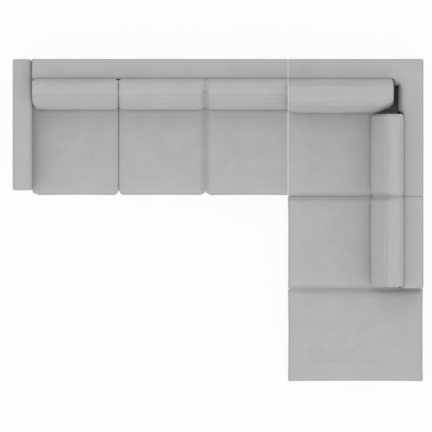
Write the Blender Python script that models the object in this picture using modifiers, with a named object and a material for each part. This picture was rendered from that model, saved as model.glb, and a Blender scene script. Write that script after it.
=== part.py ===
"""L-shaped sectional sofa in four sections: a long section with an arm and three seats, a corner section,
an armless seat and an ottoman end. Metres, +Z up, backs towards +Y and +X, origin under its middle.

Each section is a timber base with webbing, wrapped in a padded cover, with a padded back behind it.
Loose seat cushions lie on the bases, and loose back cushions stand on them and lean on the backs.
A section is drawn in its own frame: +X along its seats and +Y out through its back, outer face at y 0."""

from math import cos, pi, radians

import bmesh
import bpy
from mathutils import Matrix, Vector

# Plan sizes, from the left arm to the right and from the rear to the front
ARM_WIDTH = 0.144
SEAT_WIDTHS = (0.639, 0.642, 0.611)
SECTION_DEPTH = 0.996
SECTION_GAP = 0.003
CORNER_LENGTH = 1.012
ARMLESS_WIDTH = 0.680
OTTOMAN_WIDTH = 0.682
CUSHION_OVERHANG = 0.027

# Heights: the feet, base and seat cushion stack up, and the two rises are above the seat
FOOT_HEIGHT = 0.055
BASE_HEIGHT = 0.220
SEAT_CUSHION_HEIGHT = 0.165
ARM_RISE = 0.170
BACK_RISE = 0.260

# Running gap between pieces that touch in the real sofa, and how far a cutter runs past a wall
CLEARANCE = 0.0003
OVERRUN = 0.010

# Padded covers
BASE_COVER_THICKNESS = 0.008
BASE_EDGE_RADIUS = 0.010
WADDING = 0.012
BACK_TOP_THICKNESS = 0.147
BACK_FOOT_THICKNESS = 0.180
PADDED_EDGE_RADIUS = 0.014
EDGE_SEGMENTS = 3
SHARP_ANGLE = radians(30)

# Timber frames
RAIL_THICKNESS = 0.025
CORNER_BLOCK = 0.070
MIDDLE_BLOCK_WIDTH = 0.090
MIDDLE_BLOCK_DEPTH = 0.060
BACK_FRAME_THICKNESS = 0.100
BACK_RAIL_HEIGHT = 0.070
BACK_POST_WIDTH = 0.050
ARM_RAIL_HEIGHT = 0.060

# Webbing under the seats, and the dust cover under the base
STRAP_WIDTH = 0.080
WEBBING_THICKNESS = 0.003
WEBBING_HOLD = 0.015
STRAPS_PER_SEAT = 3
STRAPS_ACROSS = 4
DUST_COVER_THICKNESS = 0.0015

# Feet, links and bolts
FOOT_INSET = 0.045
FOOT_TOP_RADIUS = 0.026
FOOT_FLOOR_RADIUS = 0.020
STUD_RADIUS = 0.004
STUD_LENGTH = 0.050
STUD_CLEARANCE = 0.0004
ROUND_SIDES = 8
LINK_BEND = 0.006
LINK_INSET = 0.200
BOLT_HEAD_RADIUS = 0.009
BOLT_HEAD_THICKNESS = 0.006
BOLT_GRIP = 0.030
BOLT_INSET = 0.180

# Seat cushions: the crown slopes down to a flat strip where the back cushions stand
CUSHION_GAP = 0.003
CUSHION_EDGE = 0.024
SIDE_DRAW = 0.002
SEAT_CROWN = 0.012
FLAT_SEAT_DEPTH = 0.230
CROWN_SLOPE_DEPTH = 0.130
MIDDLE_SHARE = 0.5

# Back cushions: height, and depth from the back's top edge to the front of the fullest level
LONG_CUSHION = (0.330, 0.227)
SIDE_CUSHION = (0.350, 0.239)
CORNER_REAR_CUSHION = (0.380, 0.236)
CORNER_REAR_STANDOFF = 0.010
BACK_CROWN = 0.018
BACK_END_DRAW = 0.003
BACK_LEVEL_SHARES = (0.0, 0.20, 0.58, 1.0)
BACK_FRONT_SHARES = (0.82, 1.0, 0.82, 0.55)
BACK_ACROSS_SHARES = (0.3, 0.7)
# The right end of the corner's rear cushion, squeezed by the side cushion in front of it
SQUEEZED_LENGTH = 0.110
SQUEEZED_DEPTH_SHARES = (0.88, 0.74)

# Room at the ends of the back cushions, beside the edges of their seats
END_ROOM = 0.004
ARM_SIDE_ROOM = 0.012
CORNER_END_ROOM = 0.073
SIDE_CUSHION_ROOM = 0.012

# Levels and outlines that follow
BASE_Z = FOOT_HEIGHT
DECK_Z = BASE_Z + BASE_HEIGHT
SEAT_Z = DECK_Z + SEAT_CUSHION_HEIGHT
ARM_Z = SEAT_Z + ARM_RISE
BACK_Z = SEAT_Z + BACK_RISE
LONG_WIDTH = ARM_WIDTH + sum(SEAT_WIDTHS)
LEFT_X = -(LONG_WIDTH + SECTION_GAP + SECTION_DEPTH) / 2
RIGHT_X = -LEFT_X
REAR_Y = (CORNER_LENGTH + ARMLESS_WIDTH + OTTOMAN_WIDTH + 2 * SECTION_GAP) / 2
BASE_FRONT = CUSHION_OVERHANG - SECTION_DEPTH
BASE_REAR = -(BACK_FOOT_THICKNESS + CLEARANCE)
FRAME_INSET = BASE_COVER_THICKNESS + CLEARANCE
BACK_HOLLOW = 2 * WADDING + BACK_FRAME_THICKNESS
RAKE = (BACK_FOOT_THICKNESS - BACK_TOP_THICKNESS) / (BACK_Z - DECK_Z)
HOLE_RADIUS = (STUD_RADIUS + STUD_CLEARANCE) / cos(pi / ROUND_SIDES)

# Colour, roughness and metallic value of each finish
GREY_FABRIC = ((0.45, 0.45, 0.45), 0.9, 0.0)
PINE_TIMBER = ((0.62, 0.45, 0.27), 0.7, 0.0)
ELASTIC_WEBBING = ((0.16, 0.15, 0.14), 0.85, 0.0)
BLACK_DUST_CLOTH = ((0.03, 0.03, 0.03), 0.95, 0.0)
BLACK_PLASTIC = ((0.02, 0.02, 0.02), 0.45, 0.0)
ZINC_STEEL = ((0.62, 0.62, 0.60), 0.35, 1.0)

parts = bpy.data.collections.new("sectional_sofa")
cutters = bpy.data.collections.new("cutters")


def start_scene():
    """Empties the scene and links one collection for the sofa and one for its cutters."""
    for obj in list(bpy.data.objects):
        bpy.data.objects.remove(obj)
    for collection in (parts, cutters):
        bpy.context.scene.collection.children.link(collection)


def section(name, x, y, turn=0.0):
    """The empty that carries one section, at the left end of its back's outer face."""
    empty = bpy.data.objects.new(name, None)
    parts.objects.link(empty)
    empty.location = (x, y, 0.0)
    empty.rotation_euler.z = radians(turn)
    return empty


def finished(obj, finish):
    """Gives a piece its own Principled material."""
    colour, roughness, metallic = finish
    made = bpy.data.materials.new(obj.name)
    made.use_nodes = True
    shader = made.node_tree.nodes["Principled BSDF"]
    shader.inputs["Base Color"].default_value = (*colour, 1.0)
    shader.inputs["Roughness"].default_value = roughness
    shader.inputs["Metallic"].default_value = metallic
    obj.data.materials.append(made)
    return obj


def place(name, data, carrier, spot, finish=None):
    """Hangs a piece on its section. A piece with no finish is a cutter."""
    obj = bpy.data.objects.new(name, data)
    obj.parent = carrier
    obj.location = spot
    if finish:
        parts.objects.link(obj)
        return finished(obj, finish)
    cutters.objects.link(obj)
    obj.hide_render = True
    obj.display_type = "WIRE"
    return obj


def mesh_of(name, bm):
    mesh = bpy.data.meshes.new(name)
    bm.to_mesh(mesh)
    bm.free()
    return mesh


def block(name, carrier, low, high, finish=None):
    """A plain box from its lowest to its highest corner, with its origin at its middle."""
    low, high = Vector(low), Vector(high)
    bm = bmesh.new()
    bmesh.ops.create_cube(bm, size=1.0)
    bmesh.ops.scale(bm, vec=high - low, verts=bm.verts)
    return place(name, mesh_of(name, bm), carrier, (low + high) / 2, finish)


def loft(name, carrier, rings, finish=None):
    """A closed solid through rings of points, one above another, each anticlockwise from above."""
    bm = bmesh.new()
    levels = [[bm.verts.new(point) for point in ring] for ring in rings]
    bm.faces.new(reversed(levels[0]))
    bm.faces.new(levels[-1])
    for lower, upper in zip(levels, levels[1:]):
        for i in range(len(lower)):
            bm.faces.new((lower[i - 1], lower[i], upper[i], upper[i - 1]))
    return place(name, mesh_of(name, bm), carrier, (0.0, 0.0, 0.0), finish)


def prism(name, carrier, outline, low, high, finish=None):
    """An upright solid with one outline between two heights."""
    return loft(name, carrier, [[(x, y, z) for x, y in outline] for z in (low, high)], finish)


def sheet(name, carrier, outlines, low, high, finish):
    """A flat piece of webbing or cloth between two heights. Outlines after the first are holes in it."""
    curve = bpy.data.curves.new(name, "CURVE")
    curve.dimensions = "2D"
    curve.fill_mode = "BOTH"
    curve.extrude = (high - low) / 2
    for outline in outlines:
        spline = curve.splines.new("POLY")
        spline.points.add(len(outline) - 1)
        spline.use_cyclic_u = True
        for point, (x, y) in zip(spline.points, outline):
            point.co = (x, y, 0.0, 1.0)
    return place(name, curve, carrier, (0.0, 0.0, (low + high) / 2), finish)


def turned(name, carrier, profile, spot, finish, tilt=0.0):
    """A round piece: a profile of (radius, height) points spun about its own Z, then tilted about Y."""
    points = [(radius, 0.0, height) for radius, height in profile]
    mesh = bpy.data.meshes.new(name)
    mesh.from_pydata(points, [(i, i + 1) for i in range(len(points) - 1)], [])
    obj = place(name, mesh, carrier, spot, finish)
    obj.rotation_euler.y = tilt
    spin = obj.modifiers.new("Spin", "SCREW")
    spin.steps = ROUND_SIDES
    spin.render_steps = ROUND_SIDES
    spin.use_merge_vertices = True
    spin.merge_threshold = CLEARANCE / 10
    spin.use_smooth_shade = False
    return obj


def rounded(obj, radius):
    """Rounds the outer edges of a solid and leaves its inside corners sharp, as a seam does."""
    bm = bmesh.new()
    bm.from_mesh(obj.data)
    weight = bm.edges.layers.float.new("bevel_weight_edge")
    for edge in bm.edges:
        edge[weight] = float(edge.is_convex and edge.calc_face_angle() > SHARP_ANGLE)
    bm.to_mesh(obj.data)
    bm.free()
    bevel = obj.modifiers.new("Rounded edges", "BEVEL")
    bevel.width = radius
    bevel.segments = EDGE_SEGMENTS
    bevel.limit_method = "WEIGHT"
    return obj


def cut(obj, *tools):
    """Takes each cutter out of a solid."""
    for tool in tools:
        boolean = obj.modifiers.new(f"Cut {tool.name}", "BOOLEAN")
        boolean.operation = "DIFFERENCE"
        boolean.object = tool
    return obj


def inset(area, by):
    x0, x1, y0, y1 = area
    return (x0 + by, x1 - by, y0 + by, y1 - by)


def rectangle(x0, x1, y0, y1):
    return [(x0, y0), (x1, y0), (x1, y1), (x0, y1)]


def bay_outline(x0, x1, y0, y1):
    """The opening inside four rails, with its corners cut across by the glued corner blocks."""
    return [
        (x0 + CORNER_BLOCK, y0),
        (x1 - CORNER_BLOCK, y0),
        (x1, y0 + CORNER_BLOCK),
        (x1, y1 - CORNER_BLOCK),
        (x1 - CORNER_BLOCK, y1),
        (x0 + CORNER_BLOCK, y1),
        (x0, y1 - CORNER_BLOCK),
        (x0, y0 + CORNER_BLOCK),
    ]


def round_hole(x, y):
    """The hole that a foot's stud or a link's leg goes up, with its flats just clear of the stud."""
    turns = [Matrix.Rotation(2 * pi * i / ROUND_SIDES, 2) for i in range(ROUND_SIDES)]
    return [tuple(Vector((x, y)) + turn @ Vector((HOLE_RADIUS, 0.0))) for turn in turns]


def base_frame(name, carrier, area, seats, holes, middle_block=False):
    """The timber base: rails all round, a cross rail between seats, and corner blocks in each bay.
    The seats' widths share its length. A middle block at the front carries a fifth foot."""
    x0, x1, y0, y1 = inset(area, FRAME_INSET)
    low = BASE_Z + DUST_COVER_THICKNESS + CLEARANCE
    high = DECK_Z - BASE_COVER_THICKNESS - WEBBING_THICKNESS - 2 * CLEARANCE
    frame = block(name, carrier, (x0, y0, low), (x1, y1, high), PINE_TIMBER)
    front, rear = y0 + RAIL_THICKNESS, y1 - RAIL_THICKNESS
    cut_low, cut_high = low - OVERRUN, high + OVERRUN
    start = x0
    for number, width in enumerate(seats, 1):
        end = start + (x1 - x0) * width / sum(seats)
        left = start + (RAIL_THICKNESS if number == 1 else RAIL_THICKNESS / 2)
        right = end - (RAIL_THICKNESS if number == len(seats) else RAIL_THICKNESS / 2)
        outline = bay_outline(left, right, front, rear)
        if middle_block and number == 2:
            middle, half = (left + right) / 2, MIDDLE_BLOCK_WIDTH / 2
            step = rectangle(middle - half, middle + half, front, front + MIDDLE_BLOCK_DEPTH)
            outline[1:1] = [step[0], step[3], step[2], step[1]]
        cut(frame, prism(f"{name}_bay_{number}", carrier, outline, cut_low, cut_high))
        start = end
    for number, (x, y) in enumerate(holes, 1):
        cut(frame, prism(f"{name}_hole_{number}", carrier, round_hole(x, y), cut_low, cut_high))
    return frame


def strap_edges(low, high, count):
    """The two edges of each strap, spread evenly between two rails."""
    pitch = (high - low) / count
    starts = [low + pitch * i + (pitch - STRAP_WIDTH) / 2 for i in range(count)]
    return [(start, start + STRAP_WIDTH) for start in starts]


def seat_webbing(name, carrier, area, seats):
    """Elastic straps stapled to the tops of the rails, front to back and side to side."""
    timber = inset(area, FRAME_INSET)
    left, right, front, rear = inset(timber, RAIL_THICKNESS)
    columns = strap_edges(left, right, STRAPS_PER_SEAT * seats)
    rows = strap_edges(front, rear, STRAPS_ACROSS)
    left, right, front, rear = inset(timber, RAIL_THICKNESS - WEBBING_HOLD)
    x0, x1, y0, y1 = columns[0][0], columns[-1][1], rows[0][0], rows[-1][1]
    edge = [point for a, b in columns for point in ((a, y0), (a, front), (b, front), (b, y0))]
    edge += [point for a, b in rows for point in ((x1, a), (right, a), (right, b), (x1, b))]
    edge += [point for a, b in columns[::-1] for point in ((b, y1), (b, rear), (a, rear), (a, y1))]
    edge += [point for a, b in rows[::-1] for point in ((x0, b), (left, b), (left, a), (x0, a))]
    outlines = [[point for i, point in enumerate(edge) if point != edge[i - 1]]]
    for (_, a), (b, _) in zip(columns, columns[1:]):
        outlines += [rectangle(a, b, c, d) for (_, c), (d, _) in zip(rows, rows[1:])]
    high = DECK_Z - BASE_COVER_THICKNESS - CLEARANCE
    return sheet(name, carrier, outlines, high - WEBBING_THICKNESS, high, ELASTIC_WEBBING)


def base_cover(name, carrier, area, bolt_holes=()):
    """The padded cover over a base: deck and four sides, open underneath."""
    x0, x1, y0, y1 = area
    cover = rounded(block(name, carrier, (x0, y0, BASE_Z), (x1, y1, DECK_Z), GREY_FABRIC), BASE_EDGE_RADIUS)
    x0, x1, y0, y1 = inset(area, BASE_COVER_THICKNESS)
    low, high = (x0, y0, BASE_Z - OVERRUN), (x1, y1, DECK_Z - BASE_COVER_THICKNESS)
    return cut(cover, block(f"{name}_hollow", carrier, low, high), *bolt_holes)


def dust_cover(name, carrier, area, holes):
    """The thin cloth stapled under the base, pierced by the studs and the links."""
    outlines = [rectangle(*inset(area, FRAME_INSET))] + [round_hole(x, y) for x, y in holes]
    return sheet(name, carrier, outlines, BASE_Z, BASE_Z + DUST_COVER_THICKNESS, BLACK_DUST_CLOTH)


def base(prefix, carrier, area, seats, links, bolt_holes=(), middle_block=False):
    """A whole base on its feet: frame, webbing, cover and dust cover.
    links are the places of the link legs that stand in its end rails."""
    x0, x1, y0, y1 = inset(area, FRAME_INSET + FOOT_INSET)
    feet = [(x0, y0), (x1, y0), (x1, y1), (x0, y1)]
    if middle_block:
        left, right, front, _ = inset(area, FRAME_INSET)
        middle = left + (right - left) * (seats[0] + seats[1] / 2) / sum(seats)
        feet.append((middle, front + RAIL_THICKNESS + MIDDLE_BLOCK_DEPTH / 2))
    holes = feet + links
    cut(base_frame(f"{prefix}_base_frame", carrier, area, seats, holes, middle_block), *bolt_holes)
    seat_webbing(f"{prefix}_seat_webbing", carrier, area, len(seats))
    base_cover(f"{prefix}_base_cover", carrier, area, bolt_holes)
    dust_cover(f"{prefix}_dust_cover", carrier, area, holes)
    for number, (x, y) in enumerate(feet, 1):
        foot(f"{prefix}_foot_{number}", carrier, x, y)


def foot(name, carrier, x, y):
    """A tapered foot, with the stud that screws up into a corner block."""
    top = BASE_Z - CLEARANCE
    profile = [
        (0.0, top + STUD_LENGTH),
        (STUD_RADIUS, top + STUD_LENGTH),
        (STUD_RADIUS, top),
        (FOOT_TOP_RADIUS, top),
        (FOOT_FLOOR_RADIUS, 0.0),
        (0.0, 0.0),
    ]
    return turned(name, carrier, profile, (x, y, 0.0), BLACK_PLASTIC)


def link(name, carrier, x, y, across=False):
    """A steel staple pushed up from below, its legs in the end rails of two neighbouring sections.
    It spans along local X, or along local Y where across is set."""
    reach = SECTION_GAP / 2 + FRAME_INSET + RAIL_THICKNESS / 2
    low = BASE_Z - CLEARANCE - STUD_RADIUS - LINK_BEND
    half = [(-reach, BASE_Z + STUD_LENGTH), (-reach, low + LINK_BEND), (LINK_BEND - reach, low)]
    run = half + [(-side, height) for side, height in reversed(half)]
    curve = bpy.data.curves.new(name, "CURVE")
    curve.dimensions = "3D"
    curve.bevel_depth = STUD_RADIUS
    curve.bevel_resolution = 1
    curve.use_fill_caps = True
    spline = curve.splines.new("POLY")
    spline.points.add(len(run) - 1)
    for point, (side, height) in zip(spline.points, run):
        point.co = (0.0, side, height, 1.0) if across else (side, 0.0, height, 1.0)
    return place(name, curve, carrier, (x, y, 0.0), ZINC_STEEL)


def link_line(area, side):
    """The middle of a base frame's rail on one side: the line that the legs of its links stand on."""
    x0, x1, y0, y1 = inset(area, FRAME_INSET + RAIL_THICKNESS / 2)
    return {"left": x0, "right": x1, "front": y0, "rear": y1}[side]


def straight_outline(width):
    """The plan of a straight back, at a thickness and drawn in by an inset."""

    def outline(thickness, by):
        return rectangle(by, width - by, by - thickness, -by)

    return outline


def corner_outline(thickness, by):
    """The plan of the corner's back: one wing along the rear and one down the side."""
    x1, y0 = SECTION_DEPTH - by, by - CORNER_LENGTH
    inner_x, inner_y = SECTION_DEPTH - thickness + by, by - thickness
    return [(by, inner_y), (inner_x, inner_y), (inner_x, y0), (x1, y0), (x1, -by), (by, -by)]


def back(prefix, carrier, outline, windows):
    """A back: its cover, raked above the deck on the inner side, over a frame with open windows."""
    foot_ring, top_ring = outline(BACK_FOOT_THICKNESS, 0.0), outline(BACK_TOP_THICKNESS, 0.0)
    levels = ((BASE_Z, foot_ring), (DECK_Z, foot_ring), (BACK_Z, top_ring))
    rings = [[(x, y, z) for x, y in ring] for z, ring in levels]
    cover = rounded(loft(f"{prefix}_back_cover", carrier, rings, GREY_FABRIC), PADDED_EDGE_RADIUS)
    top = BACK_Z - WADDING
    inner = outline(BACK_HOLLOW, WADDING)
    cut(cover, prism(f"{prefix}_back_hollow", carrier, inner, BASE_Z - OVERRUN, top))
    ring, top = outline(BACK_HOLLOW, WADDING + CLEARANCE), top - CLEARANCE
    frame = prism(f"{prefix}_back_frame", carrier, ring, BASE_Z, top, PINE_TIMBER)
    for number, (x0, x1, y0, y1) in enumerate(windows, 1):
        low, high = (x0, y0, BASE_Z + BACK_RAIL_HEIGHT), (x1, y1, top - BACK_RAIL_HEIGHT)
        cut(frame, block(f"{prefix}_back_window_{number}", carrier, low, high))


def row_windows(width, count):
    """Windows through a straight back frame, between its posts."""
    low, high = WADDING + CLEARANCE, width - WADDING - CLEARANCE
    pitch = (high - low - BACK_POST_WIDTH) / count
    starts = [low + pitch * i for i in range(count)]
    return [(start + BACK_POST_WIDTH, start + pitch, -BACK_HOLLOW, 0.0) for start in starts]


def corner_windows():
    """One window through each wing of the corner's back frame."""
    edge = WADDING + CLEARANCE + BACK_POST_WIDTH
    inner = BACK_HOLLOW + BACK_POST_WIDTH
    rear = (edge, SECTION_DEPTH - inner, -BACK_HOLLOW, 0.0)
    side = (SECTION_DEPTH - BACK_HOLLOW, SECTION_DEPTH, edge - CORNER_LENGTH, -inner)
    return [rear, side]


def caged(name, carrier, lines, spot_of, origin):
    """A cushion: a box cut along lines at shares of its sides, its points moved by spot_of, subdivided."""
    bm = bmesh.new()
    bmesh.ops.create_cube(bm, size=1.0)
    bmesh.ops.translate(bm, vec=Vector.Fill(3, 1 / 2), verts=bm.verts)
    for axis, shares in enumerate(lines):
        normal = Vector([float(i == axis) for i in range(3)])
        for share in shares:
            everything = bm.verts[:] + bm.edges[:] + bm.faces[:]
            bmesh.ops.bisect_plane(bm, geom=everything, plane_co=normal * share, plane_no=normal)
    for vert in bm.verts:
        vert.co = Vector(spot_of(*vert.co)) - Vector(origin)
    cushion = place(name, mesh_of(name, bm), carrier, origin, GREY_FABRIC)
    cushion.data.shade_smooth()
    soften = cushion.modifiers.new("Soft form", "SUBSURF")
    soften.levels = 1
    soften.render_levels = 1
    return cushion


def hump(share):
    """1 in the middle of a side and 0 at its ends."""
    return 4 * share * (1 - share)


def nearest(shares, share):
    """Which of the shares a cage point lies on."""
    return min(range(len(shares)), key=lambda i: abs(shares[i] - share))


def seat_lines(length, backed):
    """Where a seat's cage is cut along one side, and whether the crown stands on each of its lines.
    Against a back cushion the crown slopes down to a flat strip."""
    slope = [FLAT_SEAT_DEPTH + CROWN_SLOPE_DEPTH, FLAT_SEAT_DEPTH] if backed else []
    shares = [CUSHION_EDGE / length, *(1 - far / length for far in [*slope, CUSHION_EDGE])]
    shares.insert(1, (shares[0] + shares[1]) * MIDDLE_SHARE)
    crowned = [True, True, True, False, False] if backed else [True, True, True]
    return shares, [False, *crowned, False]


def seat_cushion(name, carrier, area, rear_backed=True, side_backed=False):
    """A boxed foam cushion: flat underneath and under the back cushions, crowned where one sits.
    area is its plan, with the rear at y1. The corner's has a back cushion along x1 too."""
    x0, x1, y0, y1 = area
    wide, deep = x1 - x0, y1 - y0
    low, high = DECK_Z + CLEARANCE, SEAT_Z
    across, crowned_across = seat_lines(wide, side_backed)
    along, crowned_along = seat_lines(deep, rear_backed)

    def spot_of(u, v, w):
        i, j = nearest([0, *across, 1], u), nearest([0, *along, 1], v)
        x, y = x0 + wide * u, y0 + deep * v
        if u in (0, 1):
            x += SIDE_DRAW * hump(v) * (1 - 2 * u)
        if v in (0, 1):
            y += SIDE_DRAW * hump(u) * (1 - 2 * v)
        crown = SEAT_CROWN if w == 1 and crowned_across[i] and crowned_along[j] else 0
        return x, y, low + (high - low) * w + crown

    origin = ((x0 + x1) / 2, (y0 + y1) / 2, low)
    return caged(name, carrier, (across, along, [MIDDLE_SHARE]), spot_of, origin)


def back_cushion(name, carrier, span, size, standoff=0.0, squeezed=False, side=None):
    """A soft back cushion that stands on the seat and leans on the raked back.
    span is its two ends along the back, size its height and depth, and standoff its room behind.
    side is the local x of the side back's outer face, for a cushion that leans there instead."""
    (start, end), (tall, depth) = span, size
    long = end - start
    low, high = SEAT_Z + CLEARANCE, SEAT_Z + tall
    along = [CUSHION_EDGE / long, MIDDLE_SHARE, 1 - CUSHION_EDGE / long]
    fullness = {}
    if squeezed:
        along.insert(2, 1 - SQUEEZED_LENGTH / long)
        fullness = {4: SQUEEZED_DEPTH_SHARES[0], 5: SQUEEZED_DEPTH_SHARES[1]}

    def spot_of(u, v, w):
        height = low + (high - low) * w
        rear = BACK_TOP_THICKNESS + (BACK_Z - height) * RAKE + CLEARANCE + standoff
        share = BACK_FRONT_SHARES[nearest(BACK_LEVEL_SHARES, w)]
        front = BACK_TOP_THICKNESS + standoff + depth * share
        front = rear + (front - rear) * fullness.get(nearest([0, *along, 1], u), 1)
        out = front + (rear - front) * v
        run = start + long * u
        if u in (0, 1):
            run += BACK_END_DRAW * hump(w) * (1 - 2 * u)
        elif w == 1:
            height += BACK_CROWN * hump(v)
        return (run, -out, height) if side is None else (side - out, -run, height)

    lines = (along, BACK_ACROSS_SHARES, BACK_LEVEL_SHARES[1:-1])
    return caged(name, carrier, lines, spot_of, spot_of(MIDDLE_SHARE, MIDDLE_SHARE, 0))


def arm(carrier):
    """The arm: a timber frame in a padded cover. Returns the holes of the bolts that hold it to the base."""
    area = (0.0, ARM_WIDTH, BASE_FRONT, 0.0)
    x0, x1, y0, y1 = area
    cover = block("left_arm_cover", carrier, (x0, y0, BASE_Z), (x1, y1, ARM_Z), GREY_FABRIC)
    top = ARM_Z - WADDING
    inner = rectangle(*inset(area, WADDING))
    hollow = prism("left_arm_hollow", carrier, inner, BASE_Z - OVERRUN, top)
    cut(rounded(cover, PADDED_EDGE_RADIUS), hollow)
    x0, x1, y0, y1 = inset(area, WADDING + CLEARANCE)
    top -= CLEARANCE
    frame = block("left_arm_frame", carrier, (x0, y0, BASE_Z), (x1, y1, top), PINE_TIMBER)
    window = (y1 - y0 - 3 * ARM_RAIL_HEIGHT) / 2
    for number in (1, 2):
        front = y0 + number * ARM_RAIL_HEIGHT + (number - 1) * window
        low = (x0 - OVERRUN, front, DECK_Z)
        high = (x1 + OVERRUN, front + window, top - ARM_RAIL_HEIGHT)
        cut(frame, block(f"left_arm_window_{number}", carrier, low, high))
    spots = (BASE_FRONT + BOLT_INSET, BASE_REAR - BOLT_INSET)
    holes = [arm_bolt(number, carrier, y) for number, y in enumerate(spots, 1)]
    cut(cover, *holes)
    cut(frame, *holes)
    return holes


def arm_bolt(number, carrier, y):
    """One arm bolt, with its head inside the base's end rail. Returns the cutter for its hole."""
    head = ARM_WIDTH + CLEARANCE + FRAME_INSET + RAIL_THICKNESS + CLEARANCE
    tip = ARM_WIDTH - WADDING - CLEARANCE - BOLT_GRIP
    z = BASE_Z + BASE_HEIGHT / 2
    profile = [
        (0.0, BOLT_HEAD_THICKNESS),
        (BOLT_HEAD_RADIUS, BOLT_HEAD_THICKNESS),
        (BOLT_HEAD_RADIUS, 0.0),
        (STUD_RADIUS, 0.0),
        (STUD_RADIUS, tip - head),
        (0.0, tip - head),
    ]
    sideways = radians(90)
    turned(f"arm_bolt_{number}", carrier, profile, (head, y, z), ZINC_STEEL, sideways)
    bm = bmesh.new()
    size = {"radius1": HOLE_RADIUS, "radius2": HOLE_RADIUS, "depth": head - tip + 2 * CLEARANCE}
    bmesh.ops.create_cone(bm, cap_ends=True, segments=ROUND_SIDES, **size)
    name = f"arm_bolt_{number}_hole"
    hole = place(name, mesh_of(name, bm), carrier, ((head + tip) / 2, y, z))
    hole.rotation_euler.y = sideways
    return hole


def seat_plan(x0, x1, rear=BASE_REAR):
    """A seat cushion's plan between two seat edges, from its overhang at the front to the back."""
    gap = CUSHION_GAP / 2
    return (x0 + gap, x1 - gap, -SECTION_DEPTH, rear - gap)


def long_section():
    """The arm and the three seats beside it. Returns the two places of its links along Y."""
    carrier = section("long_section", LEFT_X, REAR_Y)
    area = (ARM_WIDTH + CLEARANCE, LONG_WIDTH, BASE_FRONT, BASE_REAR)
    link_ys = [BASE_FRONT + LINK_INSET, BASE_REAR - LINK_INSET]
    links = [(link_line(area, "right"), y) for y in link_ys]
    base("long", carrier, area, SEAT_WIDTHS, links, arm(carrier), middle_block=True)
    for number, y in enumerate(link_ys, 1):
        link(f"long_to_corner_link_{number}", carrier, LONG_WIDTH + SECTION_GAP / 2, y)
    width = LONG_WIDTH - ARM_WIDTH - CLEARANCE
    behind = section("long_back", LEFT_X + ARM_WIDTH + CLEARANCE, REAR_Y)
    back("long", behind, straight_outline(width), row_windows(width, len(SEAT_WIDTHS)))
    start = ARM_WIDTH
    rooms = (ARM_SIDE_ROOM, END_ROOM, END_ROOM)
    for name, seat_width, room in zip(("left", "middle", "right"), SEAT_WIDTHS, rooms):
        end = start + seat_width
        seat_cushion(f"{name}_seat_cushion", carrier, seat_plan(start, end))
        back_cushion(f"{name}_back_cushion", carrier, (start + room, end - END_ROOM), LONG_CUSHION)
        start = end
    return link_ys


def corner_section(rear_link_ys):
    """The square corner seat with a back on two sides. Returns the two places of its links along X."""
    carrier = section("corner_section", LEFT_X + LONG_WIDTH + SECTION_GAP, REAR_Y)
    area = (0.0, SECTION_DEPTH + BASE_REAR, -CORNER_LENGTH, BASE_REAR)
    link_xs = [LINK_INSET, SECTION_DEPTH + BASE_REAR - LINK_INSET]
    links = [(x, link_line(area, "front")) for x in link_xs]
    links += [(link_line(area, "left"), y) for y in rear_link_ys]
    base("corner", carrier, area, (SECTION_DEPTH,), links)
    for number, x in enumerate(link_xs, 1):
        gap_y = -CORNER_LENGTH - SECTION_GAP / 2
        link(f"corner_to_armless_link_{number}", carrier, x, gap_y, across=True)
    back("corner", carrier, corner_outline, corner_windows())
    seat_cushion("corner_seat_cushion", carrier, inset(area, CUSHION_GAP / 2), side_backed=True)
    span = (END_ROOM, SECTION_DEPTH - BACK_TOP_THICKNESS - CORNER_END_ROOM)
    name, size = "corner_rear_back_cushion", CORNER_REAR_CUSHION
    back_cushion(name, carrier, span, size, CORNER_REAR_STANDOFF, squeezed=True)
    start = BACK_TOP_THICKNESS + CORNER_REAR_STANDOFF + CORNER_REAR_CUSHION[1] + SIDE_CUSHION_ROOM
    span = (start, CORNER_LENGTH - END_ROOM)
    back_cushion("corner_side_back_cushion", carrier, span, SIDE_CUSHION, side=SECTION_DEPTH)
    return link_xs


def armless_section(corner_link_xs):
    """One seat with a back and no arm, turned to face left. Returns its link's place along local Y."""
    carrier = section("armless_section", RIGHT_X, REAR_Y - CORNER_LENGTH - SECTION_GAP, -90)
    area = (0.0, ARMLESS_WIDTH, BASE_FRONT, BASE_REAR)
    link_y = (BASE_FRONT + BASE_REAR) / 2
    links = [(link_line(area, "left"), x - SECTION_DEPTH) for x in corner_link_xs]
    links.append((link_line(area, "right"), link_y))
    base("armless", carrier, area, (ARMLESS_WIDTH,), links)
    link("armless_to_ottoman_link", carrier, ARMLESS_WIDTH + SECTION_GAP / 2, link_y)
    back("armless", carrier, straight_outline(ARMLESS_WIDTH), row_windows(ARMLESS_WIDTH, 1))
    seat_cushion("armless_seat_cushion", carrier, seat_plan(0.0, ARMLESS_WIDTH))
    span = (END_ROOM, ARMLESS_WIDTH - ARM_SIDE_ROOM)
    back_cushion("armless_back_cushion", carrier, span, SIDE_CUSHION)
    return link_y


def ottoman_section(link_y):
    """The backless end of the right run."""
    rear = REAR_Y - CORNER_LENGTH - ARMLESS_WIDTH - 2 * SECTION_GAP
    carrier = section("ottoman_section", RIGHT_X, rear, -90)
    area = (0.0, OTTOMAN_WIDTH, BASE_FRONT, 0.0)
    base("ottoman", carrier, area, (OTTOMAN_WIDTH,), [(link_line(area, "left"), link_y)])
    plan = seat_plan(0.0, OTTOMAN_WIDTH, 0.0)
    seat_cushion("ottoman_seat_cushion", carrier, plan, rear_backed=False)


def build():
    start_scene()
    rear_link_ys = long_section()
    corner_link_xs = corner_section(rear_link_ys)
    link_y = armless_section(corner_link_xs)
    ottoman_section(link_y)
    bpy.context.view_layer.update()


build()
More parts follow.
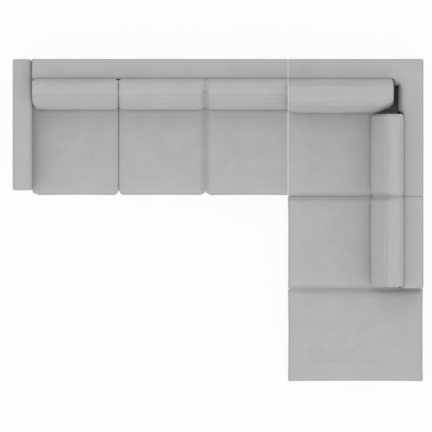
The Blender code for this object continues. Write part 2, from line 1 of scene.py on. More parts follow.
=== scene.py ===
"""Sectional sofa in grey fabric: cushions, padded covers, webbing, dust covers and feet over its solids.

Metres, +Z up, backs towards +Y and +X. A cushion starts as a shaped block in its solid's place, is filled
as cloth and then seamed. A padded cover is a block, shaped, rounded and opened underneath. Hard solids
stay, refinished."""

from math import pi, radians

import bmesh
import bpy
import numpy as np
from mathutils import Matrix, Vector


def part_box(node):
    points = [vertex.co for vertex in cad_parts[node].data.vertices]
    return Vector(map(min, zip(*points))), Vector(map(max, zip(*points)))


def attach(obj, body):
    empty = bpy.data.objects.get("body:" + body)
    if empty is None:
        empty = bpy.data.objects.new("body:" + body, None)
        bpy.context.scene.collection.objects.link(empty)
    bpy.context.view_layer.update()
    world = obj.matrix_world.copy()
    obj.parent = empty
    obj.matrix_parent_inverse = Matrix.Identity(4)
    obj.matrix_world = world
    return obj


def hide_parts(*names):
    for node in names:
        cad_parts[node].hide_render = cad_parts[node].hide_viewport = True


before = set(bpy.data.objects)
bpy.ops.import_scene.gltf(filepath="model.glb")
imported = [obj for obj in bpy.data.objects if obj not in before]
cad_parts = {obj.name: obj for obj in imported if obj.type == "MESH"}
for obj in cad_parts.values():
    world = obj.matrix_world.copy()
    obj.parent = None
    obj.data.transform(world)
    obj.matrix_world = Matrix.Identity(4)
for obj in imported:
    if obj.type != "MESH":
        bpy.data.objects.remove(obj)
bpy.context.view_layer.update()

# The photograph: the width that it spans at the seats' height, and the floor point at its middle
PHOTO_SPAN = 3.197
PHOTO_CENTRE = (-0.0144, 0.0307)
SPAN_LEVEL = 0.45
CAMERA_HEIGHT = 100.0
SENSOR_WIDTH = 36.0

# Light: the sky, a broad lamp in front that lights the upright faces, and the floor as the camera sees it
SKY_LIGHT = 0.92
FRONT_LIGHT = 0.42
FRONT_BREADTH = radians(90)
FRONT_TURN = (radians(55), 0.0, radians(-10))
FLOOR_SIZE = 400.0
FLOOR_WHITE = 0.8
FLOOR_GLOW = 0.93
FLOOR_SHADE = 0.07

# Where cushions and sections meet, from the left arm to the right and from the rear to the front, then
# where runs of cushions end, and the gaps between them
ARM_LINE, NARROW_LINE, WIDE_LINE, SECTION_LINE = -1.3735, -0.7345, -0.0925, 0.5200
CORNER_LINE, OTTOMAN_LINE = 0.1765, -0.5065
SIDE_LINES = (0.5215, 1.3355)
DEPTH_LINES = (0.1870, 1.0080)
OTTOMAN_LINES = (1.5150, -1.1900)
BACK_FACES = (1.1900, 1.5175)
REAR_RUN_END = 1.2965
SIDE_RUN_END = 0.785
ARMLESS_BACK_END = -0.493
MEETING = 0.0002
RUN_GAP = 0.0045
RUN_LEAN = 0.00534
LEAN_REACH = 0.060
ARM_CLEAR = 0.0008
ARM_SEAT_CLEAR = 0.0005

# Two points or faces closer than this count as level with each other
SAME_PLACE = 0.0001

# Sides of a seat cushion: rounding of its edges, dip of the top beside it, and bulge of its band. A side
# without bulge is closed against its neighbour
FREE = (0.013, 0.0, 0.004)
NARROW = (0.013, 0.0, 0.0)
WIDE = (0.002, 0.018, 0.0)
DEEP_JOINT = (0.011, 0.017, 0.0)
SHALLOW_JOINT = (0.002, 0.018, 0.0)
CRISP = (0.0015, 0.0, 0.0)
HIDDEN = (0.008, 0.0, 0.0)
DIP_FLAT = 0.008
DIP_SPREAD = 0.030
SIDE_PULL = (0.0003, 0.003)
PULL_REACH = 0.060
PLAIN_CORNER = 0.010
LEFT_CORNERS = (0.054, 0.042)
MIDDLE_CORNERS = (0.042, 0.046)
RIGHT_CORNERS = (0.046, 0.006)

# Seat cushions: the flat strip that the back cushions stand on, and the crown in front of it
SEAT_TOP = 0.4398
SEAT_CROWN = 0.012
CROWN_RISE = 0.15
FLAT_STRIP = 0.230
SEAT_FILL = 0.85

# Back cushions: height, depth, the rounding of the top's rear edge and how much the rear slopes forward
# above the frame, then the front's line up their height and the rounding of the other edges
BACK_SIZES = {
    "long": (0.330, 0.222, 0.066, 0.0),
    "side": (0.350, 0.236, 0.070, 0.0),
    "corner": (0.380, 0.234, 0.022, 0.32),
}
FRONT_LEVELS = (0.0, 0.20, 0.58, 1.0)
FRONT_SHARES = {
    "long": (0.97, 1.0, 0.82, 0.55),
    "side": (0.97, 1.0, 0.82, 0.55),
    "corner": (0.97, 1.0, 0.92, 0.74),
}
FRONT_BELLY = 0.004
BLOCK_DEPTH = 0.200
TOP_CROWN = 0.016
TOP_DIP_SHARE = 0.8
TOP_FRONT_ROUNDING = 0.044
FOOT_ROUNDINGS = (0.007, 0.010)
BACK_FOOT_Z = 0.4403
BACK_TOP_Z = 0.700
RAKE = 0.0776
CORNER_STANDOFF = 0.010
SQUEEZE_DEPTH = 0.036
SQUEEZE_REACH = 0.150
BACK_FILL = 0.65

# Ends of a back cushion: rounding of its edges, dip beside it, and whether a neighbour closes it
BY_ARM = (0.034, 0.0, True)
BACK_NARROW = (0.026, 0.0, True)
BACK_WIDE = (0.002, 0.028, True)
BACK_CRISP = (0.0015, 0.0, True)
FREE_END = (0.016, 0.0, False)
CORNER_END = (0.020, 0.0, False)

# Cloth: its net, how much it starts small, swells, slides and stays clear of what it touches
CUSHION_NET = 0.012
START_SMALLER = 0.003
HELD_BACK = 0.0002
SEAT_SWELL = 0.006
BACK_SWELL = 0.004
LEAST_SWELL = 0.0004
CLOTH_SINK = 0.0015
CLOTH_SLIDE = 0.0020
CLOTH_PRESSURE = 4.0
CLOTH_FRAMES = 20
MOVE_EVENING = 4
CLOSED_FACING = 0.2
PRESSED_MARGIN = 0.012
PRESSED_SLOPE = 0.35

# Seams: how deep they pull in, and the puckers and waves of the cloth
PINCH_DEPTH = 0.0022
PINCH_WIDTH = 0.006
PUCKER_HEIGHT = 0.0009
PUCKER_LENGTH = 0.046
PUCKER_REACH = 0.030
PUCKER_TILT = 0.4
PUCKER_SHIFT = 0.3
PUCKER_PATCH = 0.11
WAVE_HEIGHT = 0.0012
WAVE_LENGTH = 0.22
SEAM_REACH = 0.1
SEAM_TUCK = 0.008
TUCK_REACH = 0.016

# Padded covers
COVER_CLOTH = 0.006
COVER_NET = 0.030
BASE_ROUNDING = 0.010
PADDED_ROUNDING = 0.013
TIGHT_ROUNDING = 0.004
INNER_ROUNDING = 0.006
ARM_ROUNDING = 0.026
HEM_ROUNDING = 0.004
ROUNDING_STEPS = 4
ARM_SEAM_INSET = 0.010
LID_SEAM_INSET = 0.0035
LID_EDGE = 0.0005
BASE_SEAM_DROP = 0.016
COVER_CLEAR = 0.0002
COVER_PINCH = 0.0012
BASE_Z = 0.055
DECK_Z = 0.275
BACK_TOP_THICKNESS = 0.147
BACK_FOOT_THICKNESS = 0.180
SHARP_ANGLE = radians(30)

# The roll of the corner back's padding over the gap: how far it reaches along x and y, where it starts
# on each axis and over how much it eases in, how far it draws the other face along, how its inner corner
# is filled, and the heights of its foot and its crown
ROLLED_NET = 0.012
ROLL_REACH = (0.031, 0.042)
ROLL_STARTS = (1.300, 0.787)
ROLL_EASE = 0.020
ROLL_BLEND = 0.095
ROLL_CORNER = 0.035
ROLL_CORNER_SHARE = 0.6
ROLL_FOOT = 0.440
ROLL_CROWN = 0.600

# Webbing, dust covers and feet
STRAP_WIDTH = 0.080
STRAP_THICKNESS = 0.0011
STRAP_WEAVE = 0.0008
STRAP_NET = 0.020
WEBBING_HOLD = 0.010
STRAPS_ACROSS = 4
STRAPS_PER_SEAT = 3
STRAP_LANES = 4
DUST_CLOTH = 0.0007
DUST_NET = 0.025
DUST_SAG = 0.004
DUST_UNEVEN = 0.3
DUST_WAVE = 0.2
DUST_SEED = 7
FOOT_SIDES = 32
FOOT_EDGE = 0.002
FOOT_TOE = 0.020
FOOT_STUD = 0.050
STUD_RADIUS = 0.004
GLIDE_INSET = 0.004
GLIDE_GROOVE = 0.001
GLIDE_DEPTH = 0.0015

UP = np.array((0.0, 0.0, 1.0))
FRONT = np.array((0.0, -1.0, 0.0))
LEFT = np.array((-1.0, 0.0, 0.0))


class Number:
    """A number in a finish. Arithmetic on it adds Math nodes."""

    def __init__(self, finish, socket):
        self.finish = finish
        self.socket = socket

    def maths(self, operation, *values):
        node = self.finish.node("ShaderNodeMath", {"operation": operation}, dict(enumerate(values)))
        return Number(self.finish, node.outputs[0])

    def __add__(self, other):
        return self.maths("ADD", self, other)

    def __sub__(self, other):
        return self.maths("SUBTRACT", self, other)

    def __rsub__(self, other):
        return self.maths("SUBTRACT", other, self)

    def __mul__(self, other):
        return self.maths("MULTIPLY", self, other)

    def __abs__(self):
        return self.maths("ABSOLUTE", self)

    __radd__ = __add__
    __rmul__ = __mul__

    def sine(self):
        return self.maths("SINE", self)

    def eased(self, low, high):
        """0 below low, 1 above high and a smooth step between them."""
        inputs = {"Value": self, "From Min": low, "From Max": high}
        node = self.finish.node("ShaderNodeMapRange", {"interpolation_type": "SMOOTHSTEP"}, inputs)
        return Number(self.finish, node.outputs[0])


class Finish:
    """A Principled material, its unvarying values set on the shader's own sockets."""

    def __init__(self, name, values):
        self.material = bpy.data.materials.new(name)
        self.material.use_nodes = True
        self.tree = self.material.node_tree
        self.shader = self.tree.nodes["Principled BSDF"]
        for key, value in values.items():
            self.shader.inputs[key].default_value = value
        self.place = self.node("ShaderNodeTexCoord").outputs["Object"]

    def node(self, kind, settings=None, inputs=None):
        """Adds a node of a kind, with its settings, then the values or links of its inputs."""
        made = self.tree.nodes.new(kind)
        for key, value in (settings or {}).items():
            setattr(made, key, value)
        for key, value in (inputs or {}).items():
            if isinstance(value, Number):
                value = value.socket
            if isinstance(value, bpy.types.NodeSocket):
                self.tree.links.new(value, made.inputs[key])
            else:
                made.inputs[key].default_value = value
        return made

    def axes(self):
        """The piece's own x, y and z in metres."""
        apart = self.node("ShaderNodeSeparateXYZ", None, {0: self.place})
        return [Number(self, value) for value in apart.outputs]

    def attribute(self, name):
        return Number(self, self.node("ShaderNodeAttribute", {"attribute_name": name}).outputs["Fac"])

    def noise(self, size, detail=2.0, stretch=(1.0, 1.0, 1.0)):
        """Uneven spots of a size in metres, from 0 to 1, drawn out along an axis by stretch."""
        scale = tuple(1 / (size * share) for share in stretch)
        place = self.node("ShaderNodeMapping", None, {"Vector": self.place, "Scale": scale}).outputs[0]
        inputs = {"Vector": place, "Scale": 1.0, "Detail": detail}
        return Number(self, self.node("ShaderNodeTexNoise", None, inputs).outputs[0])

    def cells(self, size):
        """Random levels from 0 to 1 in cells of a size in metres."""
        inputs = {"Vector": self.place, "Scale": 1 / size}
        colour = self.node("ShaderNodeTexVoronoi", None, inputs).outputs["Color"]
        return Number(self, self.node("ShaderNodeSeparateColor", None, {0: colour}).outputs[0])

    def blend(self, share, first, second):
        """A colour between two, by a share from 0 to 1."""
        inputs = {0: share, 6: (*first, 1.0), 7: (*second, 1.0)}
        return self.node("ShaderNodeMix", {"data_type": "RGBA"}, inputs).outputs[2]

    def wear(self, colour, roughness, height):
        """Feeds the shader's colour, roughness and relief. Height is in metres."""
        self.tree.links.new(colour, self.shader.inputs["Base Color"])
        self.tree.links.new(roughness.socket, self.shader.inputs["Roughness"])
        bump = self.node("ShaderNodeBump", None, {"Strength": 1.0, "Distance": 1.0, "Height": height})
        self.tree.links.new(bump.outputs[0], self.shader.inputs["Normal"])
        return self.material


def grey_fabric():
    """Flat woven grey cloth: light and dark yarns, slubs, a faint sheen, its seams with painted shade along
    their grooves, and their stitches.
    """
    values = {"Specular IOR Level": 0.25, "Sheen Weight": 0.08, "Sheen Roughness": 0.4}
    cloth = Finish("grey_fabric", values)
    x, y, z = cloth.axes()
    yarn = 2 * pi / 0.0024
    warp, weft, rise = [(axis * yarn).sine() for axis in (x, y, z)]
    weave = warp * weft + weft * rise + rise * warp
    fibre = cloth.noise(0.0016, 3.0)
    slub = cloth.noise(0.011)
    cloud = cloth.noise(0.16)
    away = abs(cloth.attribute("seam"))
    # seam is 1 in a narrow band along each seam line: it sinks the relief into a groove there and also
    # drives the painted shade in that groove
    seam = 1 - away.eased(0.0004, 0.0018)
    dash = ((x + y + z) * (2 * pi / 0.0046)).sine().eased(-0.6, -0.2)
    stitch = dash * (1 - abs(away - 0.006).eased(0.0004, 0.0009))
    share = 0.5 + 0.14 * weave + 0.5 * (fibre - 0.5) + 0.35 * (slub - 0.5) + 0.2 * (cloud - 0.5)
    # The darkening along the seams is painted shade in their grooves; the stitches are paler thread
    share = share - 0.40 * seam + 0.25 * stitch
    colour = cloth.blend(share, (0.362, 0.362, 0.364), (0.598, 0.598, 0.600))
    roughness = 0.82 + 0.16 * fibre
    height = 0.00012 * weave + 0.00025 * fibre + 0.0002 * slub - 0.0009 * seam + 0.0004 * stitch
    return cloth.wear(colour, roughness, height)


def pine_timber():
    """Planed softwood: growth rings drawn out along the rails, with fine pores."""
    wood = Finish("pine_timber", {"Specular IOR Level": 0.35})
    x, y, z = wood.axes()
    drift = wood.noise(0.12, 2.0, (5.0, 5.0, 1.0))
    rings = 0.5 + 0.5 * ((z + y * 0.3 + 0.05 * drift) * (2 * pi / 0.009)).sine()
    pores = wood.noise(0.003, 3.0, (12.0, 12.0, 1.0))
    colour = wood.blend(0.6 * rings + 0.4 * pores, (0.68, 0.50, 0.30), (0.50, 0.32, 0.16))
    return wood.wear(colour, 0.55 + 0.25 * pores, 0.00015 * rings + 0.0001 * pores)


def elastic_webbing():
    """Rubber and jute webbing: ribs along the strap and dark side stripes."""
    strap = Finish("elastic_webbing", {"Specular IOR Level": 0.2})
    across, along = strap.attribute("across"), strap.attribute("along")
    ribs = 0.5 + 0.5 * (across * (2 * pi / 0.004)).sine()
    picks = 0.5 + 0.5 * (along * (2 * pi / 0.0025)).sine()
    stripe = abs(across).eased(0.026, 0.027) * (1 - abs(across).eased(0.032, 0.033))
    share = 0.55 * ribs * picks + 0.45 * strap.noise(0.004) - 0.7 * stripe
    colour = strap.blend(share, (0.06, 0.055, 0.05), (0.26, 0.24, 0.21))
    return strap.wear(colour, 0.75 + 0.2 * picks, 0.0003 * ribs * picks)


def black_dust_cloth():
    """Thin spun-bonded cloth, embossed with a grid of bonding dots."""
    cloth = Finish("black_dust_cloth", {"Specular IOR Level": 0.2})
    x, y, z = cloth.axes()
    dots = ((x * (2 * pi / 0.003)).sine() * (y * (2 * pi / 0.003)).sine()).eased(0.3, 0.8)
    fibre = cloth.noise(0.005, 4.0)
    colour = cloth.blend(fibre, (0.018, 0.018, 0.019), (0.05, 0.05, 0.052))
    return cloth.wear(colour, 0.95 - 0.25 * dots, 0.0002 * fibre - 0.0003 * dots)


def black_plastic():
    """Moulded feet: a fine spark texture, scuffed paler in places."""
    plastic = Finish("black_plastic", {"Specular IOR Level": 0.5})
    spark = plastic.noise(0.0007, 2.0)
    scuff = plastic.noise(0.012, 4.0).eased(0.55, 0.75)
    colour = plastic.blend(scuff, (0.016, 0.016, 0.017), (0.045, 0.044, 0.042))
    return plastic.wear(colour, 0.38 + 0.12 * spark + 0.2 * scuff, 0.00008 * spark)


def zinc_steel():
    """Zinc-plated steel: a faint spangle and dull streaks."""
    steel = Finish("zinc_steel", {"Metallic": 1.0})
    spangle = steel.cells(0.003)
    dull = steel.noise(0.006, 3.0)
    colour = steel.blend(0.5 * spangle + 0.5 * dull, (0.54, 0.55, 0.55), (0.70, 0.70, 0.68))
    return steel.wear(colour, 0.28 + 0.15 * dull + 0.08 * spangle, 0.00003 * dull)


FINISHES = {
    "grey_fabric": grey_fabric(),
    "pine_timber": pine_timber(),
    "elastic_webbing": elastic_webbing(),
    "black_dust_cloth": black_dust_cloth(),
    "black_plastic": black_plastic(),
    "zinc_steel": zinc_steel(),
}


def only(obj):
    """Deselects everything, then selects one piece and makes it active."""
    bpy.ops.object.select_all(action="DESELECT")
    obj.select_set(True)
    bpy.context.view_layer.objects.active = obj


def added(name):
    """Names the primitive that was just added and fixes its place in its mesh."""
    obj = bpy.context.object
    obj.name = obj.data.name = name
    only(obj)
    bpy.ops.object.transform_apply(location=True, rotation=True, scale=True)
    return obj


def changed(obj, kind, **settings):
    """Adds a modifier with its settings and applies it."""
    only(obj)
    modifier = obj.modifiers.new(kind.title(), kind)
    for key, value in settings.items():
        setattr(modifier, key, value)
    bpy.ops.object.modifier_apply(modifier=modifier.name)
    return obj


def selected(obj, kind, wanted):
    """In edit mode, selects the points, edges or faces of a piece that are wanted and no others."""
    bpy.ops.mesh.select_all(action="DESELECT")
    bpy.ops.mesh.select_mode(type=kind)
    net = bmesh.from_edit_mesh(obj.data)
    for part in {"VERT": net.verts, "EDGE": net.edges, "FACE": net.faces}[kind]:
        if wanted(part):
            part.select_set(True)
    bmesh.update_edit_mesh(obj.data)


def points(obj, what="co"):
    """Every point's place, or its normal, as rows of three."""
    values = np.empty(len(obj.data.vertices) * 3)
    obj.data.vertices.foreach_get(what, values)
    return values.reshape(-1, 3)


def move_points(obj, places):
    """Puts every point at its place, given as rows of three."""
    obj.data.vertices.foreach_set("co", np.ascontiguousarray(places).ravel())
    obj.data.update()


def net_edges(obj):
    """Every edge's two points, by number."""
    values = np.empty(len(obj.data.edges) * 2, dtype=np.int32)
    obj.data.edges.foreach_get("vertices", values)
    return values.reshape(-1, 2)


def evened(values, edges, passes):
    """Values at the points, averaged with their neighbours' again and again."""
    a, b = edges.T
    count = np.bincount(a, minlength=len(values)) + np.bincount(b, minlength=len(values)) + 1
    columns = values.reshape(len(values), -1).T.copy()
    for _ in range(passes):
        for i, column in enumerate(columns):
            near = np.bincount(a, column[b], len(values)) + np.bincount(b, column[a], len(values))
            columns[i] = (column + near) / count
    return columns.T.reshape(values.shape)


def marked(obj, name, values):
    """Writes a value at each point, for the finish to read."""
    layer = obj.data.attributes.new(name, "FLOAT", "POINT")
    layer.data.foreach_set("value", values)


def waves(places, length, seed):
    """A gentle uneven swell over the points, between -1 and 1."""
    chance = np.random.default_rng(seed)
    ways = chance.normal(size=(5, 3))
    ways *= 2 * pi / length / np.linalg.norm(ways, axis=1, keepdims=True)
    return np.sin(places @ ways.T + chance.uniform(0, 2 * pi, 5)).mean(axis=1)


def dressed(obj, slot, body, node):
    """Finishes a piece, hangs it on its body and lets it stand for its solid."""
    obj.data.materials.clear()
    obj.data.materials.append(FINISHES[slot])
    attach(obj, body)
    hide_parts(node)


def softened(obj, radius_of):
    """Rounds each edge of a piece by its own radius."""
    only(obj)
    bpy.ops.object.mode_set(mode="EDIT")
    net = bmesh.from_edit_mesh(obj.data)
    layer = net.edges.layers.float.new("bevel_weight_edge")
    radii = {edge: radius_of(edge) for edge in net.edges}
    widest = max(radii.values())
    for edge, radius in radii.items():
        edge[layer] = radius / widest
    bmesh.update_edit_mesh(obj.data)
    bpy.ops.object.mode_set(mode="OBJECT")
    return changed(obj, "BEVEL", width=widest, segments=ROUNDING_STEPS, limit_method="WEIGHT")


def net_planes(obj, pitch):
    """Cuts a piece into a net by planes across each axis, a pitch apart at most."""
    low, high = points(obj).min(axis=0), points(obj).max(axis=0)
    only(obj)
    bpy.ops.object.mode_set(mode="EDIT")
    for axis in range(3):
        count = int(np.ceil((high[axis] - low[axis]) / pitch))
        normal = [float(i == axis) for i in range(3)]
        for place in np.linspace(low[axis], high[axis], count + 1)[1:-1]:
            bpy.ops.mesh.select_all(action="SELECT")
            bpy.ops.mesh.bisect(plane_co=[place * share for share in normal], plane_no=normal)
    bpy.ops.object.mode_set(mode="OBJECT")


def block(name, low, high):
    """A box between two corners."""
    low, high = np.array(low), np.array(high)
    bpy.ops.mesh.primitive_cube_add(size=1.0, location=(low + high) / 2, scale=high - low)
    return added(name)


def faces_at(edge, low, high):
    """Which faces of a block an edge lies on: 0 and 1 across x, 2 and 3 across y, 4 and 5 across z."""
    middle = (edge.verts[0].co + edge.verts[1].co) / 2
    ends = [value for axis in range(3) for value in (low[axis], high[axis])]
    return [face for face in range(6) if abs(middle[face // 2] - ends[face]) < SAME_PLACE]


def band_seams(places, low, high, panel):
    """How far a block's points lie from the seams round the two panels that face along one axis.
    It is positive on the band between the panels and negative on them."""
    inside = np.minimum(places - low, high - places)
    beside = [axis for axis in range(3) if axis != panel]
    return np.clip(inside[:, panel] - inside[:, beside].min(axis=1), -SEAM_REACH, SEAM_REACH)


def fall(away, reach):
    """1 at a side, easing to 0 at a reach from it."""
    return np.clip(1 - away / reach, 0, None) ** 2


def stepped(share):
    """A smooth step from 0 to 1 and level beyond."""
    share = np.clip(share, 0, 1)
    return share * share * (3 - 2 * share)


def dipped(away):
    """1 beside a wide joint, falling to 0 where the cushion reaches its full height."""
    return stepped((DIP_SPREAD - away) / (DIP_SPREAD - DIP_FLAT))


def leant(places):
    """Leans the ends where the two runs meet, so that the gap between them runs straight to the floor
    along the camera's line of sight."""
    start = np.where(places[:, 0] > SECTION_LINE, BASE_Z, DECK_Z)
    beside = fall(abs(places[:, 0] - SECTION_LINE), LEAN_REACH) * (places[:, 1] > CORNER_LINE)
    places[:, 0] -= RUN_LEAN * np.clip(places[:, 2] - start, 0, None) * beside
    return places


def hump(share):
    """1 in the middle of a side and 0 at its ends."""
    return 4 * np.clip(share * (1 - share), 0, None)


def kept_closed(move, facing, closed):
    """A movement of the cloth, left out where a side is closed against a neighbour."""
    for way in closed:
        beside = np.clip(facing @ way / CLOSED_FACING - 1, 0, 1) * (move @ way)
        move = move - beside[:, None] * way
    return move


def seamed(obj, distance, closed, seed):
    """Pulls the cloth in at its seams, puckers it beside them and waves it gently elsewhere."""
    places, facing = points(obj), points(obj, "normal")
    near = np.exp(-abs(distance) / PUCKER_REACH)
    run = (places[:, 0] + places[:, 1] + PUCKER_TILT * places[:, 2]) * 2 * pi / PUCKER_LENGTH
    strength = 0.5 + 0.5 * waves(places, PUCKER_PATCH, seed + 1)
    pucker = np.sin(run + 2 * waves(places, PUCKER_SHIFT, seed)) * strength
    height = WAVE_HEIGHT * waves(places, WAVE_LENGTH, seed + 2) * (1 - near)
    height += PUCKER_HEIGHT * pucker * near - PINCH_DEPTH * np.exp(-((distance / PINCH_WIDTH) ** 2))
    move_points(obj, places + kept_closed(facing * height[:, None], facing, closed))
    marked(obj, "seam", distance)


def seat_form(seat, extent, sides, corners=(PLAIN_CORNER, PLAIN_CORNER), strips=()):
    """A boxed seat cushion in its formed shape. extent is its plan, x then y, and sides gives each of
    its four sides in that order. corners are its two front corners, and strips the flat sides."""
    node = f"{seat}_seat_cushion"
    low = np.array((extent[0], extent[2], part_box(node)[0][2]))
    high = np.array((extent[1], extent[3], SEAT_TOP))

    def radius_of(edge):
        faces = faces_at(edge, low, high)
        if faces[1] > 3:
            return sides[faces[0]][0]
        return corners[faces[0]] if faces[1] == 2 else PLAIN_CORNER

    obj = softened(block(f"{node}_sewn", low, high), radius_of)
    net_planes(obj, CUSHION_NET)
    places = points(obj)
    distance = band_seams(places, low, high, 2)
    shares = (places - low) / (high - low)
    crown, dip = SEAT_CROWN, 0.0
    closed = []
    for number, (_, depth, bulge) in enumerate(sides):
        axis, inward = number // 2, 1 - 2 * (number % 2)
        away = (places[:, axis] - (low, high)[number % 2][axis]) * inward
        if not bulge:
            closed.append(-inward * np.eye(3)[axis])
            distance -= SEAM_TUCK * fall(away, TUCK_REACH)
        flat = FLAT_STRIP if number in strips else 0.0
        crown = crown * (1 - fall(np.clip(away - flat, 0, None), CROWN_RISE))
        dip = dip + depth * dipped(away)
        pull = SIDE_PULL[bulge > 0] * hump(shares[:, 1 - axis]) - bulge * hump(shares[:, 2]) ** 0.5
        places[:, axis] += inward * pull * fall(away, PULL_REACH)
    places[:, 2] += shares[:, 2] * (crown - dip)
    move_points(obj, leant(places))
    return node, obj, distance, np.array([UP * SEAT_SWELL]), closed


def back_form(back, size, run, ends, along_y=False):
    """A back cushion in its formed shape: a front and a rear panel with a band between, standing on the
    seat and leaning on the raked back. run is its two ends, and ends gives each one's rounding, its dip
    and whether it is closed against a neighbour."""
    node = f"{back}_back_cushion"
    tall, depth, rear_rounding, forward_slope = BACK_SIZES[size]
    long = abs(run[1] - run[0])
    low, high = np.zeros(3), np.array((long, BLOCK_DEPTH, tall))

    def radius_of(edge):
        faces = faces_at(edge, low, high)
        if faces[0] < 2:
            return ends[faces[0]][0]
        return (FOOT_ROUNDINGS, (TOP_FRONT_ROUNDING, rear_rounding))[faces[1] - 4][faces[0] - 2]

    obj = softened(block(f"{node}_sewn", low, high), radius_of)
    net_planes(obj, CUSHION_NET)
    places = points(obj)
    distance = band_seams(places, low, high, 1) - SEAM_TUCK * fall(places[:, 2], TUCK_REACH)
    u, v, w = (places / high).T
    standoff = CORNER_STANDOFF if size == "corner" else 0.0
    height = BACK_FOOT_Z + tall * w
    rear = BACK_TOP_THICKNESS + np.clip(BACK_TOP_Z - height, 0, None) * RAKE + HELD_BACK
    rear += np.clip(height - BACK_TOP_Z, 0, None) * forward_slope
    share = np.polyval(np.polyfit(FRONT_LEVELS, FRONT_SHARES[size], 3), w)
    front = BACK_TOP_THICKNESS + standoff + depth * share + FRONT_BELLY * (hump(u) - 1) * hump(w)
    if size == "corner":
        front -= SQUEEZE_DEPTH * fall(long - places[:, 0], SQUEEZE_REACH) * share
    crown = TOP_CROWN * hump(v) * (1 - fall(np.minimum(u, 1 - u) * long, CROWN_RISE))
    ahead = np.eye(3)[int(along_y)] * np.sign(run[1] - run[0])
    closed = []
    for away, way, (_, dip, shut) in zip((u * long, (1 - u) * long), (-ahead, ahead), ends):
        front -= dip * dipped(away) * (1 - (1 - w) ** 6)
        crown = crown - TOP_DIP_SHARE * dip * dipped(away)
        if shut:
            closed.append(way)
            distance -= SEAM_TUCK * fall(away, TUCK_REACH)
    out = front + (rear - front) * v
    height += crown * w ** 3
    forward = run[0] + (run[1] - run[0]) * u
    if along_y:
        places = np.stack((BACK_FACES[1] - out, forward, height), axis=1)
    else:
        places = np.stack((forward, BACK_FACES[0] - out, height), axis=1)
    move_points(obj, leant(places))
    free = np.array([(LEFT if along_y else FRONT) * BACK_SWELL, UP * BACK_SWELL])
    return node, obj, distance, free, closed


def cushion_forms():
    """All twelve cushions before they are filled: six seats and six backs."""
    x0, x1 = SIDE_LINES
    y0, y1 = DEPTH_LINES
    far_x, far_y = OTTOMAN_LINES
    arm, narrow, wide, joint = ARM_LINE, NARROW_LINE, WIDE_LINE, SECTION_LINE
    near, clear = MEETING, RUN_GAP / 2
    return [
        seat_form(
            "left",
            (arm + near, narrow - near, y0, y1),
            (CRISP, NARROW, FREE, HIDDEN),
            corners=LEFT_CORNERS,
            strips=(3,),
        ),
        seat_form(
            "middle",
            (narrow + near, wide - near, y0, y1),
            (NARROW, WIDE, FREE, HIDDEN),
            corners=MIDDLE_CORNERS,
            strips=(3,),
        ),
        seat_form(
            "right",
            (wide + near, joint - clear, y0, y1),
            (WIDE, CRISP, FREE, HIDDEN),
            corners=RIGHT_CORNERS,
            strips=(3,),
        ),
        seat_form(
            "corner",
            (joint + clear, x1, CORNER_LINE + near, y1),
            (CRISP, HIDDEN, DEEP_JOINT, HIDDEN),
            strips=(1, 3),
        ),
        seat_form(
            "armless",
            (x0, x1, OTTOMAN_LINE + near, CORNER_LINE - near),
            (FREE, HIDDEN, SHALLOW_JOINT, DEEP_JOINT),
            strips=(1,),
        ),
        seat_form("ottoman", (x0, far_x, far_y, OTTOMAN_LINE - near), (FREE, FREE, FREE, SHALLOW_JOINT)),
        back_form("left", "long", (arm + ARM_CLEAR, narrow - near), (BY_ARM, BACK_NARROW)),
        back_form("middle", "long", (narrow + near, wide - near), (BACK_NARROW, BACK_WIDE)),
        back_form("right", "long", (wide + near, joint - clear), (BACK_WIDE, BACK_CRISP)),
        back_form("corner_rear", "corner", (joint + clear, REAR_RUN_END), (BACK_CRISP, FREE_END)),
        back_form("corner_side", "side", (SIDE_RUN_END, CORNER_LINE + near), (CORNER_END, BACK_WIDE), True),
        back_form("armless", "side", (CORNER_LINE - near, ARMLESS_BACK_END), (BACK_WIDE, FREE_END), True),
    ]


def blow_up(cushions):
    """Fills all the cushions at once as airtight cloth and keeps where the cloth ends up."""
    for obj in cushions:
        cloth = obj.modifiers.new("Filling", "CLOTH")
        cloth.settings.use_pressure = True
        cloth.settings.uniform_pressure_force = CLOTH_PRESSURE
        cloth.settings.effector_weights.gravity = 0.0
        cloth.point_cache.frame_end = CLOTH_FRAMES
    for moment in range(1, CLOTH_FRAMES + 1):
        bpy.context.scene.frame_set(moment)
    for obj in cushions:
        only(obj)
        bpy.ops.object.modifier_apply(modifier="Filling")
    bpy.context.scene.frame_set(1)


def held_in(move, facing, free):
    """The cloth's movement from its formed shape, with room to swell where a side is free and a little
    to sink and slide."""
    outward = (move * facing).sum(axis=1)
    room = LEAST_SWELL + np.clip(facing @ free.T, 0, None).max(axis=1)
    room = np.where(outward > 0, room, CLOTH_SINK)
    slide = move - outward[:, None] * facing
    length = np.linalg.norm(slide, axis=1) + 1e-9
    slide *= (CLOTH_SLIDE * np.tanh(length / CLOTH_SLIDE) / length)[:, None]
    return facing * (room * np.tanh(outward / room))[:, None] + slide


def pressed_under(obj, standing):
    """Keeps a seat's top flat where the back cushions stand on it."""
    places = points(obj)
    for node in standing:
        low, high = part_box(node)
        beside = np.maximum(places[:, :2] - np.array(high[:2]), np.array(low[:2]) - places[:, :2])
        away = np.linalg.norm(np.clip(beside - PRESSED_MARGIN, 0, None), axis=1)
        places[:, 2] = np.minimum(places[:, 2], low[2] - HELD_BACK + PRESSED_SLOPE * away)
    move_points(obj, places)


